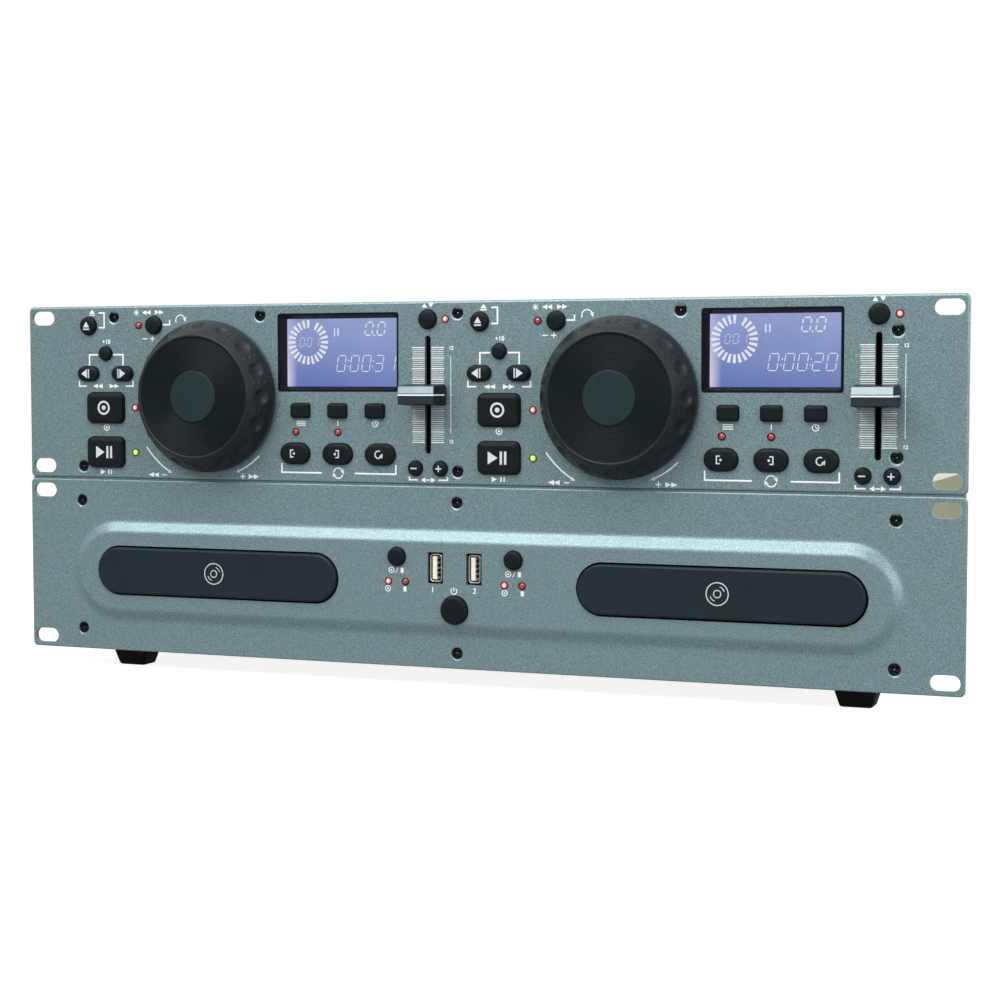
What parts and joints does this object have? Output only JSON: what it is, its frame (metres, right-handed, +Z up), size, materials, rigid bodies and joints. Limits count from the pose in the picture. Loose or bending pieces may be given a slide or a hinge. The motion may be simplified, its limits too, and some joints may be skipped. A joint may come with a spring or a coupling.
{
  "type": "dual disc player for a rack",
  "caption": "Rack-mount disc player for disc jockeys: a control panel with jog wheels, displays, faders and keys above a drive unit with disc trays.",
  "frame": {"origin": "on the standing surface, under the middle of the whole object's bounding box", "axes": "+X to the right along the panels as seen from the front, +Y from the front to the rear, +Z up; the panels face -Y"},
  "size_m": [0.4826, 0.263, 0.1865],
  "materials": {
    "panel_paint": "speckled metallic satin",
    "case_steel": "zinc-plated sheet",
    "circuit_board": "board with parts",
    "display_frame": "matte black",
    "window": "clear, glossy",
    "bright_steel": "bright",
    "lamp": "clear tinted",
    "inner_plastic": "matte black",
    "foot_rubber": "matte",
    "black_steel": "black oxide",
    "tray_plastic": "satin dark grey",
    "jog_plastic": "satin black",
    "fader_plastic": "bright face on black",
    "key_rubber": "satin black"
  },
  "bodies": {
    "housing": {"control_panel": "panel_paint", "control_case": "case_steel", "control_board": "circuit_board", "display_modules": "display_frame", "display_windows": "window", "fader_tracks": "bright_steel", "jog_posts": "bright_steel", "lamps": "lamp", "drive_panel": "panel_paint", "drive_chassis": "case_steel", "drive_cover": "case_steel", "loader_frames": "inner_plastic", "usb_sockets": "bright_steel", "main_board": "circuit_board", "mains_inlet": "inner_plastic", "feet": "foot_rubber", "screws": "black_steel"},
    "left_tray": {"left_tray": "tray_plastic"},
    "right_tray": {"right_tray": "tray_plastic"},
    "left_jog_wheel": {"left_jog_wheel": "jog_plastic"},
    "right_jog_wheel": {"right_jog_wheel": "jog_plastic"},
    "left_pitch_fader": {"left_pitch_fader": "fader_plastic"},
    "right_pitch_fader": {"right_pitch_fader": "fader_plastic"},
    "left_spindle": {"left_spindle": "inner_plastic"},
    "right_spindle": {"right_spindle": "inner_plastic"},
    "power_button": {"power_button": "key_rubber"},
    "left_source": {"left_source": "key_rubber"},
    "right_source": {"right_source": "key_rubber"},
    "left_eject": {"left_eject": "key_rubber"},
    "left_jog_mode": {"left_jog_mode": "key_rubber"},
    "left_plus_ten": {"left_plus_ten": "key_rubber"},
    "left_track_back": {"left_track_back": "key_rubber"},
    "left_track_forward": {"left_track_forward": "key_rubber"},
    "left_cue": {"left_cue": "key_rubber"},
    "left_play": {"left_play": "key_rubber"},
    "left_program": {"left_program": "key_rubber"},
    "left_single": {"left_single": "key_rubber"},
    "left_time": {"left_time": "key_rubber"},
    "left_loop_in": {"left_loop_in": "key_rubber"},
    "left_loop_out": {"left_loop_out": "key_rubber"},
    "left_reloop": {"left_reloop": "key_rubber"},
    "left_pitch": {"left_pitch": "key_rubber"},
    "left_bend_minus": {"left_bend_minus": "key_rubber"},
    "left_bend_plus": {"left_bend_plus": "key_rubber"},
    "right_eject": {"right_eject": "key_rubber"},
    "right_jog_mode": {"right_jog_mode": "key_rubber"},
    "right_plus_ten": {"right_plus_ten": "key_rubber"},
    "right_track_back": {"right_track_back": "key_rubber"},
    "right_track_forward": {"right_track_forward": "key_rubber"},
    "right_cue": {"right_cue": "key_rubber"},
    "right_play": {"right_play": "key_rubber"},
    "right_program": {"right_program": "key_rubber"},
    "right_single": {"right_single": "key_rubber"},
    "right_time": {"right_time": "key_rubber"},
    "right_loop_in": {"right_loop_in": "key_rubber"},
    "right_loop_out": {"right_loop_out": "key_rubber"},
    "right_reloop": {"right_reloop": "key_rubber"},
    "right_pitch": {"right_pitch": "key_rubber"},
    "right_bend_minus": {"right_bend_minus": "key_rubber"},
    "right_bend_plus": {"right_bend_plus": "key_rubber"}
  },
  "joints": [
    {"name": "left_tray_slide", "type": "slide", "parent": "housing", "child": "left_tray", "axis": [0, -1, 0], "range_m": [0, 0.135]},
    {"name": "right_tray_slide", "type": "slide", "parent": "housing", "child": "right_tray", "axis": [0, -1, 0], "range_m": [0, 0.135]},
    {"name": "left_jog_turn", "type": "hinge", "parent": "housing", "child": "left_jog_wheel", "pos_m": [-0.13485, -0.1205, 0.14042], "axis": [0, -1, 0], "continuous": true},
    {"name": "right_jog_turn", "type": "hinge", "parent": "housing", "child": "right_jog_wheel", "pos_m": [0.08195, -0.1205, 0.14042], "axis": [0, -1, 0], "continuous": true},
    {"name": "left_pitch_fader_slide", "type": "slide", "parent": "housing", "child": "left_pitch_fader", "axis": [0, 0, 1], "range_m": [-0.0228, 0.0228]},
    {"name": "right_pitch_fader_slide", "type": "slide", "parent": "housing", "child": "right_pitch_fader", "axis": [0, 0, 1], "range_m": [-0.0228, 0.0228]},
    {"name": "left_spindle_turn", "type": "hinge", "parent": "housing", "child": "left_spindle", "pos_m": [-0.13035, -0.0465, 0.04], "axis": [0, 0, 1], "continuous": true},
    {"name": "right_spindle_turn", "type": "hinge", "parent": "housing", "child": "right_spindle", "pos_m": [0.13035, -0.0465, 0.04], "axis": [0, 0, 1], "continuous": true},
    {"name": "power_button_press", "type": "slide", "parent": "housing", "child": "power_button", "axis": [0, 1, 0], "range_m": [0, 0.0025], "stiffness_N_per_m": 250, "springref_m": -0.002},
    {"name": "left_source_press", "type": "slide", "parent": "housing", "child": "left_source", "axis": [0, 1, 0], "range_m": [0, 0.001], "stiffness_N_per_m": 250, "springref_m": -0.002},
    {"name": "right_source_press", "type": "slide", "parent": "housing", "child": "right_source", "axis": [0, 1, 0], "range_m": [0, 0.001], "stiffness_N_per_m": 250, "springref_m": -0.002},
    {"name": "left_eject_press", "type": "slide", "parent": "housing", "child": "left_eject", "axis": [0, 1, 0], "range_m": [0, 0.001], "stiffness_N_per_m": 250, "springref_m": -0.002},
    {"name": "left_jog_mode_press", "type": "slide", "parent": "housing", "child": "left_jog_mode", "axis": [0, 1, 0], "range_m": [0, 0.001], "stiffness_N_per_m": 250, "springref_m": -0.002},
    {"name": "left_plus_ten_press", "type": "slide", "parent": "housing", "child": "left_plus_ten", "axis": [0, 1, 0], "range_m": [0, 0.001], "stiffness_N_per_m": 250, "springref_m": -0.002},
    {"name": "left_track_back_press", "type": "slide", "parent": "housing", "child": "left_track_back", "axis": [0, 1, 0], "range_m": [0, 0.001], "stiffness_N_per_m": 250, "springref_m": -0.002},
    {"name": "left_track_forward_press", "type": "slide", "parent": "housing", "child": "left_track_forward", "axis": [0, 1, 0], "range_m": [0, 0.001], "stiffness_N_per_m": 250, "springref_m": -0.002},
    {"name": "left_cue_press", "type": "slide", "parent": "housing", "child": "left_cue", "axis": [0, 1, 0], "range_m": [0, 0.001], "stiffness_N_per_m": 250, "springref_m": -0.002},
    {"name": "left_play_press", "type": "slide", "parent": "housing", "child": "left_play", "axis": [0, 1, 0], "range_m": [0, 0.001], "stiffness_N_per_m": 250, "springref_m": -0.002},
    {"name": "left_program_press", "type": "slide", "parent": "housing", "child": "left_program", "axis": [0, 1, 0], "range_m": [0, 0.001], "stiffness_N_per_m": 250, "springref_m": -0.002},
    {"name": "left_single_press", "type": "slide", "parent": "housing", "child": "left_single", "axis": [0, 1, 0], "range_m": [0, 0.001], "stiffness_N_per_m": 250, "springref_m": -0.002},
    {"name": "left_time_press", "type": "slide", "parent": "housing", "child": "left_time", "axis": [0, 1, 0], "range_m": [0, 0.001], "stiffness_N_per_m": 250, "springref_m": -0.002},
    {"name": "left_loop_in_press", "type": "slide", "parent": "housing", "child": "left_loop_in", "axis": [0, 1, 0], "range_m": [0, 0.001], "stiffness_N_per_m": 250, "springref_m": -0.002},
    {"name": "left_loop_out_press", "type": "slide", "parent": "housing", "child": "left_loop_out", "axis": [0, 1, 0], "range_m": [0, 0.001], "stiffness_N_per_m": 250, "springref_m": -0.002},
    {"name": "left_reloop_press", "type": "slide", "parent": "housing", "child": "left_reloop", "axis": [0, 1, 0], "range_m": [0, 0.001], "stiffness_N_per_m": 250, "springref_m": -0.002},
    {"name": "left_pitch_press", "type": "slide", "parent": "housing", "child": "left_pitch", "axis": [0, 1, 0], "range_m": [0, 0.001], "stiffness_N_per_m": 250, "springref_m": -0.002},
    {"name": "left_bend_minus_press", "type": "slide", "parent": "housing", "child": "left_bend_minus", "axis": [0, 1, 0], "range_m": [0, 0.001], "stiffness_N_per_m": 250, "springref_m": -0.002},
    {"name": "left_bend_plus_press", "type": "slide", "parent": "housing", "child": "left_bend_plus", "axis": [0, 1, 0], "range_m": [0, 0.001], "stiffness_N_per_m": 250, "springref_m": -0.002},
    {"name": "right_eject_press", "type": "slide", "parent": "housing", "child": "right_eject", "axis": [0, 1, 0], "range_m": [0, 0.001], "stiffness_N_per_m": 250, "springref_m": -0.002},
    {"name": "right_jog_mode_press", "type": "slide", "parent": "housing", "child": "right_jog_mode", "axis": [0, 1, 0], "range_m": [0, 0.001], "stiffness_N_per_m": 250, "springref_m": -0.002},
    {"name": "right_plus_ten_press", "type": "slide", "parent": "housing", "child": "right_plus_ten", "axis": [0, 1, 0], "range_m": [0, 0.001], "stiffness_N_per_m": 250, "springref_m": -0.002},
    {"name": "right_track_back_press", "type": "slide", "parent": "housing", "child": "right_track_back", "axis": [0, 1, 0], "range_m": [0, 0.001], "stiffness_N_per_m": 250, "springref_m": -0.002},
    {"name": "right_track_forward_press", "type": "slide", "parent": "housing", "child": "right_track_forward", "axis": [0, 1, 0], "range_m": [0, 0.001], "stiffness_N_per_m": 250, "springref_m": -0.002},
    {"name": "right_cue_press", "type": "slide", "parent": "housing", "child": "right_cue", "axis": [0, 1, 0], "range_m": [0, 0.001], "stiffness_N_per_m": 250, "springref_m": -0.002},
    {"name": "right_play_press", "type": "slide", "parent": "housing", "child": "right_play", "axis": [0, 1, 0], "range_m": [0, 0.001], "stiffness_N_per_m": 250, "springref_m": -0.002},
    {"name": "right_program_press", "type": "slide", "parent": "housing", "child": "right_program", "axis": [0, 1, 0], "range_m": [0, 0.001], "stiffness_N_per_m": 250, "springref_m": -0.002},
    {"name": "right_single_press", "type": "slide", "parent": "housing", "child": "right_single", "axis": [0, 1, 0], "range_m": [0, 0.001], "stiffness_N_per_m": 250, "springref_m": -0.002},
    {"name": "right_time_press", "type": "slide", "parent": "housing", "child": "right_time", "axis": [0, 1, 0], "range_m": [0, 0.001], "stiffness_N_per_m": 250, "springref_m": -0.002},
    {"name": "right_loop_in_press", "type": "slide", "parent": "housing", "child": "right_loop_in", "axis": [0, 1, 0], "range_m": [0, 0.001], "stiffness_N_per_m": 250, "springref_m": -0.002},
    {"name": "right_loop_out_press", "type": "slide", "parent": "housing", "child": "right_loop_out", "axis": [0, 1, 0], "range_m": [0, 0.001], "stiffness_N_per_m": 250, "springref_m": -0.002},
    {"name": "right_reloop_press", "type": "slide", "parent": "housing", "child": "right_reloop", "axis": [0, 1, 0], "range_m": [0, 0.001], "stiffness_N_per_m": 250, "springref_m": -0.002},
    {"name": "right_pitch_press", "type": "slide", "parent": "housing", "child": "right_pitch", "axis": [0, 1, 0], "range_m": [0, 0.001], "stiffness_N_per_m": 250, "springref_m": -0.002},
    {"name": "right_bend_minus_press", "type": "slide", "parent": "housing", "child": "right_bend_minus", "axis": [0, 1, 0], "range_m": [0, 0.001], "stiffness_N_per_m": 250, "springref_m": -0.002},
    {"name": "right_bend_plus_press", "type": "slide", "parent": "housing", "child": "right_bend_plus", "axis": [0, 1, 0], "range_m": [0, 0.001], "stiffness_N_per_m": 250, "springref_m": -0.002}
  ]
}
